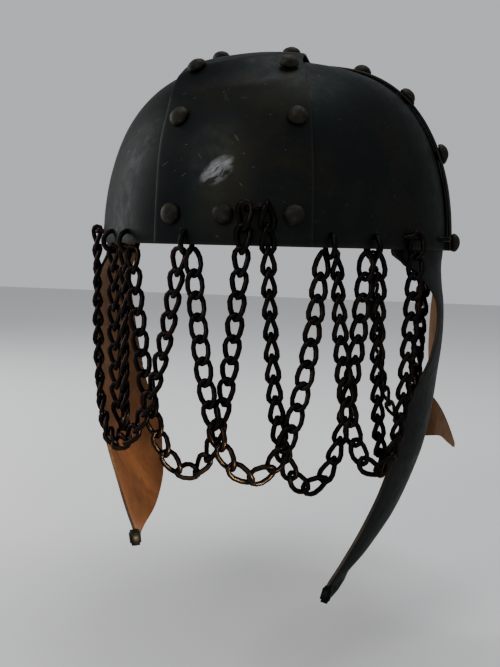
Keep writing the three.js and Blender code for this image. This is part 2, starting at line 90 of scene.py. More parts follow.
# Dents in the front band: centre, radius and depth, in millimetres.
FRONT_DENTS = [
    ((-3, -114, 34), 11, 0.3),
    ((22, -104, 48), 16, 0.4),
    ((-24, -101, 42), 14, -0.4),
    ((6, -112, 60), 15, -0.5),
    ((-20, -40, 96), 18, 0.6),
    ((10, -104, 20), 18, 0.4),
]

# The valley pressed in across the front band's shoulder: places along it, in millimetres.
VALLEY = [(-27, -82, 80), (-12, -84, 82), (4, -82, 84), (16, -74, 89), (26, -62, 94)]
VALLEY_WIDTH = 7.5 * MM
VALLEY_DEPTH = 1.5 * MM

# Cheek plates
CHEEK_DROPS = {"right": 153 * MM, "left": 171 * MM}
CHEEK_ROOT_HEIGHT = 11 * MM
CHEEK_SINK = 2.7 * MM
CHEEK_JOINED = 0.04
CHEEK_GRID = (36, 120)

# The horn: drop share, front angle and reach, rear angle and reach.
HORN_EDGES = [
    (0.02, 51, 0.965, 99.4, 0.965),
    (0.05, 57, 0.985, 97.6, 0.972),
    (0.09, 62, 1.01, 95.8, 0.982),
    (0.16, 65.4, 1.034, 95.2, 0.984),
    (0.3, 62.9, 1.033, 97.6, 0.979),
    (0.45, 55.7, 1.029, 98.6, 0.94),
    (0.6, 51.3, 1.022, 99.1, 0.881),
    (0.7, 48.3, 0.997, 98.5, 0.809),
    (0.8, 43.4, 0.972, 93.1, 0.731),
    (0.9, 36.6, 0.963, 76, 0.66),
    (0.96, 32.4, 0.96, 54.1, 0.716),
    (1.0, 31.6, 0.963, 34.2, 0.926),
]

# The left horn is bent: its front edge is sprung out and its rear edge in, added to the reaches.
LEFT_SPRING = [
    (0.03, 0, 0),
    (0.09, 0.03, -0.03),
    (0.16, 0.05, -0.05),
    (0.3, 0.055, -0.05),
    (0.45, 0.01, -0.005),
    (0.6, 0, 0),
]

# The spur behind the horn: angle, reach, and drop shares of its upper and lower edges.
SPUR_SECTIONS = [
    (100, 0.97, 0.5, 0.63),
    (107, 1.055, 0.565, 0.65),
    (112, 1.13, 0.63, 0.685),
    (116.5, 1.21, 0.703, 0.718),
]
SPUR_TOP = 0.46
SPUR_BOTTOM = 0.635
SPUR_ROOT = (98.4, 0.905, SPUR_TOP, SPUR_BOTTOM)
SPUR_STEPS = 16

# The blunt nib on the horn's point
NIB_LENGTH = 8 * MM
NIB_WIDTH = 7.5 * MM
NIB_THICKNESS = 4.4 * MM

# Chains
WIRE_RADIUS = 1.3 * MM
RING_RADIUS = 5.2 * MM
LINK_HALF_LENGTH = 6.4 * MM
LINK_HALF_WIDTH = 3.5 * MM
LINK_PITCH = 10.1 * MM
LINK_TWIST = 42
LINK_STEPS = 14
LINK_SIDES = 6
LINK_ROLL_START = 25
LINK_ROLL_SWING = 55
LINK_TILT = 6
STRANDS_APART = 3.6 * MM
LYING_STRANDS_APART = 5 * MM

# Where the chains hang: the ring's name, its angle round the rim from the front, and the side of
# the plates that a lying ring holds its chains on: 1 outside, -1 inside, 0 for an upright ring.
ANCHORS = [
    ("right_corner", -62.5, 1),
    ("right_brow_far", -46, 0),
    ("right_brow_near", -35, 0),
    ("brow_right", -11, 0),
    ("brow_middle", 9, 1),
    ("brow_left", 29.5, 0),
    ("left_brow_far", 43, 0),
    ("left_corner", 57.5, 1),
    ("left_side", 79, -1),
    ("left_rear", 122, 0),
    ("left_nape", 152, 0),
]

# Each swag: its anchors, its lowest height and how far its middle leans out, in millimetres.
SWAGS = [
    ("swag_1", 1, 2, -97, -4),
    ("swag_2", 0, 3, -100, 10.5),
    ("swag_3", 2, 4, -110, -7),
    ("swag_4", 3, 5, -106, 10),
    ("swag_5", 4, 6, -114, -8),
    ("swag_6", 5, 7, -105, 7),
    ("swag_7", 6, 8, -110, -4),
    ("swag_8", 9, 10, -112, 8),
]

# Camera
CAMERA_AZIMUTH = 12.5
CAMERA_DISTANCE = 520 * MM
CAMERA_ROLL = 1.4
FOCAL_PIXELS = 894.4
RIM_CENTRE_PIXEL = (276.6, 246.6)
FRAME_WIDTH = 500
FRAME_HEIGHT = 667
SENSOR = 36


def clamp(value, low, high):
    return max(low, min(high, value))


def mix(a, b, share):
    return a + (b - a) * share


def smooth(share):
    share = clamp(share, 0, 1)
    return share * share * (3 - 2 * share)


def eased(table, value):
    """A row of the table's other columns at a value of its first, curved smoothly between the rows."""
    value = clamp(value, table[0][0], table[-1][0])
    after = 1
    while table[after][0] < value:
        after += 1
    a, b = table[after - 1], table[after]
    before = table[max(after - 2, 0)]
    beyond = table[min(after + 1, len(table) - 1)]
    step = b[0] - a[0]
    t = (value - a[0]) / step
    row = []
    for column in range(1, len(a)):
        start = (b[column] - before[column]) / max(b[0] - before[0], 1e-9) * step
        end = (beyond[column] - a[column]) / max(beyond[0] - a[0], 1e-9) * step
        row.append(
            (2 * t**3 - 3 * t**2 + 1) * a[column]
            + (t**3 - 2 * t**2 + t) * start
            + (3 * t**2 - 2 * t**3) * b[column]
            + (t**3 - t**2) * end
        )
    return row


# Dome surface


def height_at(x, y):
    spread = math.hypot(x / RIM_HALF_WIDTH, y / RIM_HALF_LENGTH)
    return DOME_HEIGHT * max(1 - spread**ROUND_POWER, 0) ** (1 / RISE_POWER)


def dome_normal(place):
    x, y, z = place
    spread = math.hypot(x / RIM_HALF_WIDTH, y / RIM_HALF_LENGTH)
    slope = ROUND_POWER * spread ** (ROUND_POWER - 2)
    lift = RISE_POWER * (max(z, 0) / DOME_HEIGHT) ** (RISE_POWER - 1) / DOME_HEIGHT
    return Vector((slope * x / RIM_HALF_WIDTH**2, slope * y / RIM_HALF_LENGTH**2, lift)).normalized()


def climb_at(height):
    return 2 / math.pi * math.asin(clamp(height / DOME_HEIGHT, 0, 1) ** (RISE_POWER / 2))


def front_band_growth(height):
    return GAP + SHEET + EAR_BAND_OUTER * smooth(climb_at(height))


def band_edge(share, y, inset=0.0):
    half, lean = eased(FRONT_BAND_PLAN, y / RIM_HALF_LENGTH)
    side = (share > 0) - (share < 0)
    return FRONT_BAND_HALF_WIDTH * (lean + share * half) - side * inset


def rim_y(share, end):
    """Where a line of the front band meets the rim: end is -1 at the brow and 1 at the nape."""
    y = end * RIM_HALF_LENGTH
    for _ in range(6):
        x = band_edge(share, y)
        y = end * RIM_HALF_LENGTH * math.sqrt(1 - (x / RIM_HALF_WIDTH) ** 2)
    return y


def evenly(place, count, fine=600):
    """Places along a line, evenly apart. The line is given for shares from 0 to 1."""
    line = [place(i / fine) for i in range(fine + 1)]
    reached = [0.0]
    for a, b in zip(line, line[1:]):
        reached.append(reached[-1] + (b - a).length)
    places = []
    k = 0
    for i in range(count + 1):
        target = reached[-1] * i / count
        while k < fine - 1 and reached[k + 1] < target:
            k += 1
        span = max(reached[k + 1] - reached[k], 1e-12)
        places.append(line[k].lerp(line[k + 1], clamp((target - reached[k]) / span, 0, 1)))
    return places


def wobble(place, size, seed):
    return noise.noise(place / size + Vector((seed, -seed, seed * 0.5)))


def valley_at(place):
    nearest = 1.0
    for a, b in zip(VALLEY, VALLEY[1:]):
        start, end = Vector(a) * MM, Vector(b) * MM
        share = clamp((place - start).dot(end - start) / (end - start).length_squared, 0, 1)
        nearest = min(nearest, (place - start.lerp(end, share)).length)
    far = nearest / VALLEY_WIDTH
    return VALLEY_DEPTH * (0.3 * math.exp(-(((far - 1.7) / 0.5) ** 2)) - math.exp(-far * far))


def hand_worked(place, dents):
    """How far hammering has left a place of the dome off its true surface."""
    off = 0.35 * MM * wobble(place, 34 * MM, 3) + 0.14 * MM * wobble(place, 11 * MM, 8)
    for centre, radius, depth in dents:
        far = (place - Vector(centre) * MM).length / (radius * MM)
        off -= depth * MM * math.exp(-far * far)
    return off


# Sheet pieces


def new_piece(name, shape, materials):
    mesh = bpy.data.meshes.new(name)
    shape.to_mesh(mesh)
    shape.free()
    for material in materials:
        mesh.materials.append(material)
    piece = bpy.data.objects.new(name, mesh)
    bpy.context.scene.collection.objects.link(piece)
    for polygon in mesh.polygons:
        polygon.use_smooth = True
    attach(piece, "root")
    return piece


def sheet_grid(across, along, place):
    """A grid bent to a surface: place gives each point for its shares across and along, 0 to 1."""
    shape = bmesh.new()
    bmesh.ops.create_grid(shape, x_segments=across, y_segments=along, size=1)
    worn = shape.verts.layers.float.new("edge_wear")
    for vert in shape.verts:
        u, v = (vert.co.x + 1) / 2, (vert.co.y + 1) / 2
        vert.co = place(clamp(u, 0, 1), clamp(v, 0, 1))
    bmesh.ops.remove_doubles(shape, verts=shape.verts, dist=0.02 * MM)
    edges = [edge for edge in shape.edges if edge.is_boundary]
    for edge in edges:
        for vert in edge.verts:
            vert[worn] = 1.0
    return shape


def face_outward(shape, face, outward):
    """Turns the whole sheet so that this face looks the way that outward gives for its place."""
    bmesh.ops.recalc_face_normals(shape, faces=shape.faces)
    if face.normal.dot(outward(face.calc_center_median())) < 0:
        bmesh.ops.reverse_faces(shape, faces=shape.faces)


def thicken(piece, offset, lining=False):
    """Gives a sheet its thickness: offset -1 lies all inside its surface, 0 half inside."""
    wall = piece.modifiers.new("sheet", "SOLIDIFY")
    wall.thickness = SHEET
    wall.offset = offset
    wall.use_rim = True
    wall.material_offset = 1 if lining else 0
    wall.material_offset_rim = 0


def soft_edges(piece, width):
    bevel = piece.modifiers.new("edges", "BEVEL")
    bevel.width = width
    bevel.segments = 2
    bevel.limit_method = "ANGLE"
    bevel.angle_limit = math.radians(50)


def front_band(material):
    across, along = FRONT_BAND_GRID
    columns = {}
    for j in range(across + 1):
        share = 2 * j / across - 1
        front, back = rim_y(share, -1), rim_y(share, 1)

        def place(t, share=share, front=front, back=back):
            c = math.cos(t * math.pi)
            lift = abs(c) ** (2 / ROUND_POWER)
            y = (front if c > 0 else back) * lift
            x = band_edge(share, y)
            return Vector((x, y, height_at(x, y)))

        columns[j] = evenly(place, along)

    def surface(u, v):
        base = columns[round(u * across)][round(v * along)]
        grow = front_band_growth(base.z) + hand_worked(base, FRONT_DENTS) + valley_at(base)
        return base + dome_normal(base) * grow

    shape = sheet_grid(across, along, surface)
    face_outward(shape, shape.faces[:][0], dome_normal)
    piece = new_piece("front_band_sheet", shape, [material])
    thicken(piece, -1)
    soft_edges(piece, 0.45 * MM)
    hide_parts("front_band")


def ear_band(material):
    across, along = EAR_BAND_GRID
    columns = {}
    for j in range(across + 1):
        y = EAR_BAND_CENTRE_Y + EAR_BAND_HALF_WIDTH * (2 * j / across - 1)
        reach = RIM_HALF_WIDTH * math.sqrt(1 - (y / RIM_HALF_LENGTH) ** 2)

        def place(t, y=y, reach=reach):
            c = math.cos(t * math.pi)
            x = reach * math.copysign(abs(c) ** (2 / ROUND_POWER), c)
            return Vector((x, y, height_at(x, y)))

        columns[j] = evenly(place, along)

    def surface(u, v):
        base = columns[round(u * across)][round(v * along)]
        return base + dome_normal(base) * (EAR_BAND_OUTER + 0.5 * hand_worked(base, []))

    shape = sheet_grid(across, along, surface)
    face_outward(shape, shape.faces[:][0], dome_normal)
    piece = new_piece("ear_band_sheet", shape, [material])
    thicken(piece, -1)
    soft_edges(piece, 0.45 * MM)
    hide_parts("ear_band")


def dome_panel(end, side, material):
    """One quarter of the dome: end is -1 at the front and 1 at the back, side is 1 on the left."""
    cross_y = EAR_BAND_CENTRE_Y + end * (EAR_BAND_HALF_WIDTH - BAND_OVERLAP)
    corner_x = band_edge(side, cross_y, BAND_OVERLAP)
    top = climb_at(height_at(corner_x, cross_y)) * 0.995

    def surface(u, v):
        climb = v * top * math.pi / 2
        spread = math.cos(climb) ** (2 / ROUND_POWER)
        height = DOME_HEIGHT * math.sin(climb) ** (2 / RISE_POWER)
        y = end * RIM_HALF_LENGTH * spread
        for _ in range(8):
            x = band_edge(side, y, BAND_OVERLAP)
            y = end * RIM_HALF_LENGTH * math.sqrt(max(spread**2 - (x / RIM_HALF_WIDTH) ** 2, 0))
        near = math.atan2(x / RIM_HALF_WIDTH, y / RIM_HALF_LENGTH)
        ear_x = side * RIM_HALF_WIDTH * math.sqrt(max(spread**2 - (cross_y / RIM_HALF_LENGTH) ** 2, 0))
        far = math.atan2(ear_x / RIM_HALF_WIDTH, cross_y / RIM_HALF_LENGTH)
        turn = mix(near, far, u)
        base = Vector(
            (
                RIM_HALF_WIDTH * spread * math.sin(turn),
                RIM_HALF_LENGTH * spread * math.cos(turn),
                height,
            )
        )
        return base + dome_normal(base) * 0.7 * hand_worked(base, [])

    shape = sheet_grid(*PANEL_GRID, surface)
    face_outward(shape, shape.faces[:][0], dome_normal)
    hand = "left" if side > 0 else "right"
    facing = "front" if end < 0 else "back"
    piece = new_piece(f"panel_{facing}_{hand}_sheet", shape, [material])
    thicken(piece, -1)
    soft_edges(piece, 0.45 * MM)
    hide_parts(f"panel_{facing}_{hand}")


# Cheek plates


def rim_place(side, angle, reach, height):
    turn = math.radians(angle)
    return Vector(
        (side * RIM_HALF_WIDTH * reach * math.sin(turn), -RIM_HALF_LENGTH * reach * math.cos(turn), height)
    )


def horn_place(side, drop_length, drop, share):
    front, front_reach, rear, rear_reach = eased(HORN_EDGES, drop)
    bowed = mix(front_reach, rear_reach, share)
    if side > 0:
        bowed += mix(*eased(LEFT_SPRING, drop), share)
    return rim_place(side, mix(front, rear, share), bowed, -drop * drop_length)


def root_place(side, height, share):
    front, _, rear, _ = HORN_EDGES[0][1:]
    turn = math.radians(mix(front, rear, share))
    height_share = clamp(height / DOME_HEIGHT, 0, 1)
    spread = (1 - height_share**RISE_POWER) ** (1 / ROUND_POWER)
    return Vector(
        (
            side * (RIM_HALF_WIDTH - CHEEK_SINK) * spread * math.sin(turn),
            -(RIM_HALF_LENGTH - CHEEK_SINK) * spread * math.cos(turn),
            height,
        )
    )


def cheek_plate(hand, outside, inside):
    side = 1 if hand == "left" else -1
    drop_length = CHEEK_DROPS[hand]
    root_end = HORN_EDGES[0][0] * 0.5
    total = CHEEK_ROOT_HEIGHT + drop_length

    def surface(u, v):
        height = CHEEK_ROOT_HEIGHT - v * total
        drop = -height / drop_length
        if drop <= root_end:
            return root_place(side, height, u)
        if drop < CHEEK_JOINED:
            root = root_place(side, height, u)
            horn = horn_place(side, drop_length, CHEEK_JOINED, u)
            horn.z = height
            return root.lerp(horn, smooth((drop - root_end) / (CHEEK_JOINED - root_end)))
        return horn_place(side, drop_length, drop, u)

    shape = sheet_grid(*CHEEK_GRID, surface)
    grow_spur(shape, side, drop_length)
    face = min(shape.faces, key=lambda f: abs(f.calc_center_median().z + drop_length * 0.25))
    face_outward(shape, face, lambda place: Vector((place.x, 0, 0)))
    piece = new_piece(f"cheek_{hand}_sheet", shape, [outside, inside])
    thicken(piece, 0, lining=True)
    soft_edges(piece, 0.4 * MM)
    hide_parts(f"cheek_{hand}")


def nib(hand, material):
    """The horn's point, folded over itself into a blunt block."""
    side = 1 if hand == "left" else -1
    drop_length = CHEEK_DROPS[hand]
    point = horn_place(side, drop_length, 1, 0.1)
    above = horn_place(side, drop_length, 0.95, 0.03)
    run = (point - above).normalized()
    out = Vector((side, 0, 0))
    out = (out - run * run.dot(out)).normalized()
    shape = bmesh.new()
    bmesh.ops.create_cube(shape, size=1)
    bmesh.ops.bevel(shape, geom=shape.edges, offset=0.16, segments=2, affect="EDGES")
    for vert in shape.verts:
        vert.co.x *= NIB_THICKNESS
        vert.co.y *= NIB_WIDTH * (1 - 0.25 * vert.co.z)
        vert.co.z *= NIB_LENGTH
        vert.co += Vector((1, 1, 0)) * 0.5 * MM * wobble(vert.co, 3 * MM, drop_length)
    matrix = Matrix((out, run.cross(out), run)).transposed().to_4x4()
    place = point - run * NIB_LENGTH * 0.5
    bmesh.ops.transform(shape, matrix=Matrix.Translation(place) @ matrix, verts=shape.verts)
    new_piece(f"cheek_{hand}_nib", shape, [material])


def grow_spur(shape, side, drop_length):
    """Draws the spur out of the horn's rear edge, section by section."""
    shape.verts.ensure_lookup_table()

    def drop_of(vert):
        return -vert.co.z / drop_length

    rear = []
    for edge in shape.edges:
        if not edge.is_boundary:
            continue
        drops = [drop_of(vert) for vert in edge.verts]
        if min(drops) < SPUR_TOP - 1e-6 or max(drops) > SPUR_BOTTOM + 1e-6:
            continue
        middle = (edge.verts[0].co + edge.verts[1].co) / 2
        front_place = horn_place(side, drop_length, drop_of(edge.verts[0]), 0)
        rear_place = horn_place(side, drop_length, drop_of(edge.verts[0]), 1)
        if (middle - rear_place).length < (middle - front_place).length:
            rear.append(edge)
    table = [(i, *section) for i, section in enumerate([SPUR_ROOT, *SPUR_SECTIONS])]
    low = min(drop_of(vert) for edge in rear for vert in edge.verts)
    high = max(drop_of(vert) for edge in rear for vert in edge.verts)
    share_of = {vert: (drop_of(vert) - low) / (high - low) for edge in rear for vert in edge.verts}
    start_of = {vert: vert.co.copy() for vert in share_of}
    for step in range(1, SPUR_STEPS + 1):
        out = bmesh.ops.extrude_edge_only(shape, edges=rear)
        fresh = [item for item in out["geom"] if isinstance(item, bmesh.types.BMVert)]
        for face in out["geom"]:
            if isinstance(face, bmesh.types.BMFace) and step > 1:
                face.material_index = 1
        rear = [item for item in out["geom"] if isinstance(item, bmesh.types.BMEdge)]
        rear = [edge for edge in rear if all(vert in fresh for vert in edge.verts)]
        at = len(SPUR_SECTIONS) * step / SPUR_STEPS
        angle, reach, top, bottom = eased(table, at)
        pairs = {}
        for vert in fresh:
            parent = min(share_of, key=lambda old: (old.co - vert.co).length)
            pairs[vert] = (share_of[parent], start_of[parent])
        share_of, start_of = {}, {}
        for vert, (share, start) in pairs.items():
            goal = rim_place(side, angle, reach, -drop_length * mix(top, bottom, share))
            blend = smooth(at)
            vert.co = (start + (goal - start) * blend) if at < 1 else goal
            share_of[vert] = share
            start_of[vert] = start


# Rivets

RIVET_RISE = 4.2 * MM
RIVET_TURNS = 20


def node_points(name):
    return [vert.co.copy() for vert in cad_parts[name].data.vertices]


def node_centre(name):
    points = node_points(name)
    total = Vector()
    for point in points:
        total += point
    return total / len(points)


def rivet(name, material, seed):
    """A hand-set rivet in place of the plain one: a rough domed head, its shank and its tail."""
    centre = node_centre(name)
    axis = dome_normal(centre)
    along = [(point - centre).dot(axis) for point in node_points(name)]
    top, foot = max(along), min(along)
    base = top - RIVET_RISE
    profile = [
        (0.0, foot),
        (2.6, foot),
        (3.0, foot + 0.35 * MM),
        (2.6, foot + 1.2 * MM),
        (1.9, foot + 1.2 * MM),
        (1.9, base),
        (4.5, base - 0.1 * MM),
        (4.95, base + 0.5 * MM),
        (4.8, base + 1.4 * MM),
        (4.2, base + 2.5 * MM),
        (3.1, base + 3.4 * MM),
        (1.6, base + 4.0 * MM),
        (0.0, base + 4.15 * MM),
    ]
    shape = bmesh.new()
    verts = [shape.verts.new((radius * MM, 0, height)) for radius, height in profile]
    edges = [shape.edges.new(pair) for pair in zip(verts, verts[1:])]
    bmesh.ops.spin(
        shape,
        geom=verts + edges,
        cent=(0, 0, 0),
        axis=(0, 0, 1),
        angle=2 * math.pi,
        steps=RIVET_TURNS,
        use_merge=True,
    )
    bmesh.ops.remove_doubles(shape, verts=shape.verts, dist=0.01 * MM)
    bmesh.ops.recalc_face_normals(shape, faces=shape.faces)
    for vert in shape.verts:
        if vert.co.z > base - 0.5 * MM:
            swell = 1 + 0.09 * wobble(vert.co, 3.2 * MM, seed) + 0.05 * wobble(vert.co, 1.3 * MM, seed + 5)
            vert.co.x *= swell
            vert.co.y *= swell
    turn = Vector((0, 0, 1)).rotation_difference(axis)
    matrix = Matrix.Translation(centre) @ turn.to_matrix().to_4x4()
    bmesh.ops.transform(shape, matrix=matrix, verts=shape.verts)
    piece = new_piece(f"{name}_head", shape, [material])
    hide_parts(name)


# Chains


def wire_loop(shape, route, radius, sides):
    """A closed wire along a route: one round section spun into place by sweeping a tube of rings."""
    count = len(route)
    rings = []
    for i, point in enumerate(route):
        ahead = (route[(i + 1) % count] - route[i - 1]).normalized()
        out = (point - sum(route, Vector()) / count).normalized()
        up = ahead.cross(out).normalized()
        out = up.cross(ahead)
        ring = bmesh.ops.create_circle(shape, cap_ends=False, segments=sides, radius=radius)["verts"]
        matrix = Matrix((out, up, ahead)).transposed().to_4x4()
        bmesh.ops.transform(shape, matrix=Matrix.Translation(point) @ matrix, verts=ring)
        rings.append(ring)
    for i in range(count):
        a, b = rings[i], rings[(i + 1) % count]
        for k in range(sides):
            n = (k + 1) % sides
            shape.faces.new((a[k], a[n], b[n], b[k]))


def link_route():
    """One twisted curb link about the origin, lying along X."""
    route = []
    for i in range(LINK_STEPS):
        turn = 2 * math.pi * i / LINK_STEPS
        x = LINK_HALF_LENGTH * math.copysign(abs(math.cos(turn)) ** 0.85, math.cos(turn))
        y = LINK_HALF_WIDTH * math.copysign(abs(math.sin(turn)) ** 0.8, math.sin(turn))
        roll = math.radians(LINK_TWIST) * x / LINK_HALF_LENGTH
        route.append(Vector((x, y * math.cos(roll), y * math.sin(roll))))
    return route


def sag_factor(depth, span):
    low, high = 0.01, 30.0
    for _ in range(60):
        middle = (low + high) / 2
        if (math.cosh(middle / 2) - 1) / middle < depth / span:
            low = middle
        else:
            high = middle
    return low


def rim_out(angle):
    turn = math.radians(angle)
    return Vector((math.sin(turn) / RIM_HALF_WIDTH, -math.cos(turn) / RIM_HALF_LENGTH, 0)).normalized()


def hang_place(anchor, shift):
    name, angle, lying = ANCHORS[anchor]
    centre = node_centre(f"ring_{name}")
    out = rim_out(angle)
    along = Vector((0, 0, 1)).cross(out)
    place = centre + along * shift
    if lying:
        place += out * lying * RING_RADIUS
    else:
        place.z -= RING_RADIUS
    return place


def strands_apart(anchor):
    if sum(anchor in swag[1:3] for swag in SWAGS) < 2:
        return 0
    return LYING_STRANDS_APART if ANCHORS[anchor][2] else STRANDS_APART


def swag_places(start, end, low, lean):
    a = hang_place(start, strands_apart(start))
    b = hang_place(end, -strands_apart(end))
    span = math.hypot(b.x - a.x, b.y - a.y)
    depth = (a.z + b.z) / 2 - low * MM
    factor = sag_factor(depth, span)
    outward = Vector((b.y - a.y, a.x - b.x, 0)).normalized()

    def place(share):
        point = a.lerp(b, share)
        hang = math.cosh(factor / 2) - math.cosh(factor * (share - 0.5))
        point.z -= depth * hang / (math.cosh(factor / 2) - 1)
        return point + outward * lean * MM * math.sin(math.pi * share)

    fine = evenly(place, 600)
    length = sum((q - p).length for p, q in zip(fine, fine[1:]))
    first = LINK_HALF_LENGTH - 2 * WIRE_RADIUS - 0.1 * MM
    links = round((length - 2 * first) / LINK_PITCH) + 1
    pitch = (length - 2 * first) / (links - 1)
    places = []
    for i in range(links):
        at = (first + i * pitch) / length * 600
        k = int(clamp(at, 1, 598))
        places.append((fine[k].lerp(fine[k + 1], at - k), (fine[k + 1] - fine[k - 1]).normalized()))
    return places, outward


def swag(name, start, end, low, lean, material, seed):
    places, outward = swag_places(start, end, low, lean)
    shape = bmesh.new()
    link = bmesh.new()
    wire_loop(link, link_route(), WIRE_RADIUS, LINK_SIDES)
    bmesh.ops.recalc_face_normals(link, faces=link.faces)
    pattern = bpy.data.meshes.new("link_pattern")
    link.to_mesh(pattern)
    link.free()
    roll_start = LINK_ROLL_START * noise.noise(Vector((seed * 1.7, 0, 0)))
    for i, (place, tangent) in enumerate(places):
        share = i / (len(places) - 1)
        face = (outward - tangent * outward.dot(tangent)).normalized()
        roll = roll_start + LINK_ROLL_SWING * noise.noise(Vector((seed * 3.1, share * 2.3, 0)))
        face = Quaternion(tangent, math.radians(roll)) @ face
        across = face.cross(tangent)
        tilt = LINK_TILT * noise.noise(Vector((seed, i * 0.9, 4)))
        matrix = Matrix((tangent, across, face)).transposed().to_4x4()
        matrix = Matrix.Translation(place) @ matrix @ Matrix.Rotation(math.radians(tilt), 4, "Z")
        before = len(shape.verts)
        shape.from_mesh(pattern)
        shape.verts.ensure_lookup_table()
        bmesh.ops.transform(shape, matrix=matrix, verts=shape.verts[before:])
    piece = new_piece(f"{name}_links", shape, [material])
    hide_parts(name)


def anchor_ring(anchor, material):
    name, angle, lying = ANCHORS[anchor]
    node = f"ring_{name}"
    centre = node_centre(node)
    out = rim_out(angle)
    up = Vector((0, 0, 1))
    across = up.cross(out) if lying else up
    route = []
    for i in range(24):
        at = 2 * math.pi * i / 24
        route.append(centre + (out * math.cos(at) + across * math.sin(at)) * RING_RADIUS)
    shape = bmesh.new()
    wire_loop(shape, route, WIRE_RADIUS, 10)
    bmesh.ops.recalc_face_normals(shape, faces=shape.faces)
    piece = new_piece(f"{node}_wire", shape, [material])
    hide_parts(node)


# Materials

# Each colour stands at its place along the noise that spreads it.
PLATE_COLOURS = [
    (0.3, (0.007, 0.009, 0.0095)),
    (0.5, (0.01, 0.0115, 0.011)),
    (0.66, (0.016, 0.015, 0.0105)),
    (0.8, (0.011, 0.013, 0.0135)),
]
COPPER_COLOURS = [
    (0.3, (0.045, 0.022, 0.012)),
    (0.5, (0.1, 0.046, 0.022)),
    (0.7, (0.18, 0.084, 0.04)),
    (0.85, (0.06, 0.031, 0.018)),
]
RIVET_COLOURS = [
    (0.3, (0.008, 0.007, 0.006)),
    (0.55, (0.018, 0.016, 0.012)),
    (0.75, (0.045, 0.038, 0.028)),
]
CHAIN_COLOURS = [
    (0.3, (0.004, 0.004, 0.004)),
    (0.55, (0.008, 0.007, 0.0065)),
    (0.78, (0.026, 0.016, 0.01)),
]
SPECK_COLOUR = (0.04, 0.038, 0.033)
SCRATCH_COLOUR = (0.07, 0.07, 0.065)
WORN_EDGE_COLOUR = (0.036, 0.029, 0.022)
# Painted reflection: the pale grey of a light mirrored in the front band, painted into the colour.
PAINTED_REFLECTION_COLOUR = (0.36, 0.36, 0.38)
COPPER_STAIN_COLOUR = (0.05, 0.033, 0.025)


def material_nodes(name):
    material = bpy.data.materials.new(name)
    material.use_nodes = True
    tree = material.node_tree
    tree.nodes.clear()
    output = tree.nodes.new("ShaderNodeOutputMaterial")
    shader = tree.nodes.new("ShaderNodeBsdfPrincipled")
    tree.links.new(shader.outputs[0], output.inputs[0])
    coordinates = tree.nodes.new("ShaderNodeTexCoord")
    return material, tree, shader, coordinates.outputs["Object"]


def add_noise(tree, source, scale, detail=4.0, roughness=0.6, distortion=0.0):
    node = tree.nodes.new("ShaderNodeTexNoise")
    node.inputs["Scale"].default_value = scale
    node.inputs["Detail"].default_value = detail
    node.inputs["Roughness"].default_value = roughness
    node.inputs["Distortion"].default_value = distortion
    tree.links.new(source, node.inputs["Vector"])
    return node.outputs["Fac"]


def add_ramp(tree, source, stops):
    node = tree.nodes.new("ShaderNodeValToRGB")
    while len(node.color_ramp.elements) < len(stops):
        node.color_ramp.elements.new(0.5)
    for element, (position, colour) in zip(node.color_ramp.elements, stops):
        element.position = position
        element.color = (*colour, 1)
    tree.links.new(source, node.inputs["Fac"])
    return node.outputs["Color"]


def add_range(tree, source, low, high, to_low, to_high):
    node = tree.nodes.new("ShaderNodeMapRange")
    node.inputs["From Min"].default_value = low
    node.inputs["From Max"].default_value = high
    node.inputs["To Min"].default_value = to_low
    node.inputs["To Max"].default_value = to_high
    tree.links.new(source, node.inputs["Value"])
    return node.outputs["Result"]


def add_math(tree, operation, a, b):
    node = tree.nodes.new("ShaderNodeMath")
    node.operation = operation
    node.use_clamp = True
    for socket, value in zip(node.inputs, (a, b)):
        if isinstance(value, (int, float)):
            socket.default_value = value
        else:
            tree.links.new(value, socket)
    return node.outputs["Value"]


def add_mix(tree, share, a, b):
    node = tree.nodes.new("ShaderNodeMix")
    node.data_type = "RGBA"
    if isinstance(share, (int, float)):
        node.inputs["Factor"].default_value = share
    else:
        tree.links.new(share, node.inputs["Factor"])
    for socket, value in ((node.inputs["A"], a), (node.inputs["B"], b)):
        if isinstance(value, tuple):
            socket.default_value = (*value, 1)
        else:
            tree.links.new(value, socket)
    return node.outputs["Result"]


def add_mapping(tree, source, location=(0, 0, 0), rotation=(0, 0, 0), scale=(1, 1, 1)):
    node = tree.nodes.new("ShaderNodeMapping")
    node.vector_type = "TEXTURE"
    node.inputs["Location"].default_value = location
    node.inputs["Rotation"].default_value = [math.radians(angle) for angle in rotation]
    node.inputs["Scale"].default_value = scale
    tree.links.new(source, node.inputs["Vector"])
    return node.outputs["Vector"]


def add_spot(tree, source, centre, size, rotation=(0, 0, 0)):
    """1 inside an oval spot of the surface, falling to 0 at its border."""
    corner = [c * MM for c in centre]
    placed = add_mapping(tree, source, location=corner, rotation=rotation, scale=[s * MM for s in size])
    node = tree.nodes.new("ShaderNodeVectorMath")
    node.operation = "LENGTH"
    tree.links.new(placed, node.inputs[0])
    return add_range(tree, node.outputs["Value"], 0.2, 1.0, 1.0, 0.0)


def add_bump(tree, shader, heights):
    normal = None
    for source, strength, distance in heights:
        node = tree.nodes.new("ShaderNodeBump")
        node.inputs["Strength"].default_value = strength
        node.inputs["Distance"].default_value = distance * MM
        tree.links.new(source, node.inputs["Height"])
        if normal is not None:
            tree.links.new(normal, node.inputs["Normal"])
        normal = node.outputs["Normal"]
    tree.links.new(normal, shader.inputs["Normal"])


def add_scratches(tree, source, rotation, scale, rare):
    """Short thin streaks along one direction: 1 on a streak. A higher rare leaves fewer of them."""
    stretched = add_mapping(tree, source, rotation=rotation, scale=(1, 1, 12))
    lines = add_noise(tree, stretched, scale, 2.0, 0.5)
    return add_range(tree, lines, rare, rare + 0.03, 0.0, 1.0)


def edge_wear(tree, power):
    node = tree.nodes.new("ShaderNodeAttribute")
    node.attribute_name = "edge_wear"
    return add_math(tree, "POWER", node.outputs["Fac"], power)


